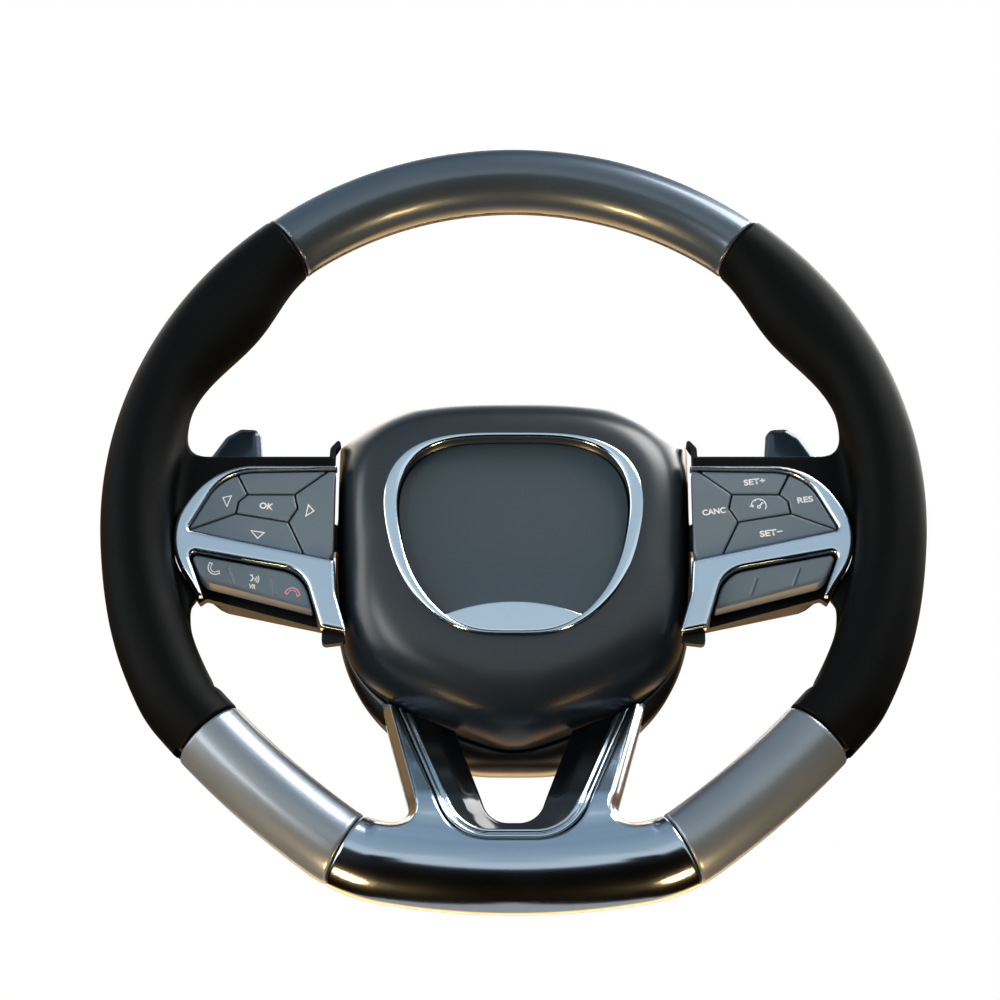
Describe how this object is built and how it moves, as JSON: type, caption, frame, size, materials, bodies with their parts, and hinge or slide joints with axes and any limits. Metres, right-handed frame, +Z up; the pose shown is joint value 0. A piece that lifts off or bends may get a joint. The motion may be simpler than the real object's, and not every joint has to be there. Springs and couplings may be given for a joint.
{
  "type": "car steering wheel",
  "caption": "Flat-bottomed car steering wheel with a padded horn module, two switch pods with keys and rocking bars, and two shift paddles behind the side spokes.",
  "frame": {"origin": "centre of the hub seat, at the mouth of the column bore", "axes": "+Z up with the wheel straight ahead, +X to the driver's right, +Y from the driver towards the column, along the bore"},
  "size_m": [0.3762, 0.086, 0.3802],
  "materials": {
    "magnesium": "as-cast grey",
    "steel": "zinc-plated steel",
    "foam": "moulded foam",
    "leather": "smooth black leather",
    "cap": "satin slate",
    "silver": "satin silver paint",
    "plated": "glossy plated plastic",
    "pale_shell": "pale silver plastic",
    "trim": "satin chrome",
    "black_plastic": "grained black plastic",
    "pad": "soft charcoal skin",
    "ring": "satin blue-grey chrome",
    "panel": "matt blue-grey panel",
    "sheet_steel": "coated sheet steel",
    "cloth": "folded nylon cloth",
    "pod_trim": "satin pale blue-grey",
    "key": "satin slate keys",
    "paddle": "slate anodised paddle"
  },
  "bodies": {
    "wheel": {"armature": "magnesium", "hub_boss": "steel", "rim_foam": "foam", "grip_left": "leather", "grip_right": "leather", "rim_cap_front": "cap", "rim_cap_rear": "cap", "band_left": "silver", "band_right": "silver", "bottom_bezel": "plated", "bottom_rear_shell": "pale_shell", "bottom_trim_strip": "trim", "bottom_inner_plate": "black_plastic", "rear_cover": "black_plastic", "spoke_tray_left": "black_plastic", "spoke_tray_right": "black_plastic", "horn_springs": "steel", "cover_screws": "steel", "pod_bezel_left": "pod_trim", "pod_bezel_right": "pod_trim", "pod_housing_left": "black_plastic", "pod_housing_right": "black_plastic", "paddle_base_left": "black_plastic", "paddle_base_right": "black_plastic", "paddle_pins": "steel", "paddle_springs": "steel"},
    "hub_pad": {"pad_cover": "pad", "pad_ring": "ring", "pad_panel": "panel", "airbag_can": "sheet_steel", "airbag_cushion": "cloth", "inflator": "steel"},
    "key_left_up": {"key_left_up": "key"},
    "key_left_down": {"key_left_down": "key"},
    "key_left_outer": {"key_left_outer": "key"},
    "key_left_inner": {"key_left_inner": "key"},
    "key_left_centre": {"key_left_centre": "key"},
    "bar_carrier_left": {"bar_carrier_left": "black_plastic"},
    "bar_left": {"bar_left": "key"},
    "paddle_left": {"paddle_left": "paddle"},
    "key_right_up": {"key_right_up": "key"},
    "key_right_down": {"key_right_down": "key"},
    "key_right_outer": {"key_right_outer": "key"},
    "key_right_inner": {"key_right_inner": "key"},
    "key_right_centre": {"key_right_centre": "key"},
    "bar_carrier_right": {"bar_carrier_right": "black_plastic"},
    "bar_right": {"bar_right": "key"},
    "paddle_right": {"paddle_right": "paddle"}
  },
  "joints": [
    {"name": "horn_press", "type": "slide", "parent": "wheel", "child": "hub_pad", "axis": [0, 1, 0], "range_m": [0, 0.0015], "stiffness_N_per_m": 8000},
    {"name": "key_left_up_press", "type": "slide", "parent": "wheel", "child": "key_left_up", "axis": [0, 1, 0], "range_m": [0, 0.0012], "stiffness_N_per_m": 1500},
    {"name": "key_left_down_press", "type": "slide", "parent": "wheel", "child": "key_left_down", "axis": [0, 1, 0], "range_m": [0, 0.0012], "stiffness_N_per_m": 1500},
    {"name": "key_left_outer_press", "type": "slide", "parent": "wheel", "child": "key_left_outer", "axis": [0, 1, 0], "range_m": [0, 0.0012], "stiffness_N_per_m": 1500},
    {"name": "key_left_inner_press", "type": "slide", "parent": "wheel", "child": "key_left_inner", "axis": [0, 1, 0], "range_m": [0, 0.0012], "stiffness_N_per_m": 1500},
    {"name": "key_left_centre_press", "type": "slide", "parent": "wheel", "child": "key_left_centre", "axis": [0, 1, 0], "range_m": [0, 0.0012], "stiffness_N_per_m": 1500},
    {"name": "bar_left_press", "type": "slide", "parent": "wheel", "child": "bar_carrier_left", "axis": [0, 1, 0], "range_m": [0, 0.001], "stiffness_N_per_m": 2000},
    {"name": "bar_left_tilt", "type": "hinge", "parent": "bar_carrier_left", "child": "bar_left", "pos_m": [-0.1185, -0.0555, -0.0329], "axis": [0.274, 0, 0.9617], "range_deg": [-2, 2], "stiffness_Nm_per_rad": 0.5},
    {"name": "paddle_left_pull", "type": "hinge", "parent": "wheel", "child": "paddle_left", "pos_m": [-0.097, -0.0205, 0], "axis": [0, 0, 1], "range_deg": [0, 5], "stiffness_Nm_per_rad": 2},
    {"name": "key_right_up_press", "type": "slide", "parent": "wheel", "child": "key_right_up", "axis": [0, 1, 0], "range_m": [0, 0.0012], "stiffness_N_per_m": 1500},
    {"name": "key_right_down_press", "type": "slide", "parent": "wheel", "child": "key_right_down", "axis": [0, 1, 0], "range_m": [0, 0.0012], "stiffness_N_per_m": 1500},
    {"name": "key_right_outer_press", "type": "slide", "parent": "wheel", "child": "key_right_outer", "axis": [0, 1, 0], "range_m": [0, 0.0012], "stiffness_N_per_m": 1500},
    {"name": "key_right_inner_press", "type": "slide", "parent": "wheel", "child": "key_right_inner", "axis": [0, 1, 0], "range_m": [0, 0.0012], "stiffness_N_per_m": 1500},
    {"name": "key_right_centre_press", "type": "slide", "parent": "wheel", "child": "key_right_centre", "axis": [0, 1, 0], "range_m": [0, 0.0012], "stiffness_N_per_m": 1500},
    {"name": "bar_right_press", "type": "slide", "parent": "wheel", "child": "bar_carrier_right", "axis": [0, 1, 0], "range_m": [0, 0.001], "stiffness_N_per_m": 2000},
    {"name": "bar_right_tilt", "type": "hinge", "parent": "bar_carrier_right", "child": "bar_right", "pos_m": [0.1185, -0.0555, -0.0329], "axis": [-0.274, 0, 0.9617], "range_deg": [-2, 2], "stiffness_Nm_per_rad": 0.5},
    {"name": "paddle_right_pull", "type": "hinge", "parent": "wheel", "child": "paddle_right", "pos_m": [0.097, -0.0205, 0], "axis": [0, 0, -1], "range_deg": [0, 5], "stiffness_Nm_per_rad": 2}
  ]
}
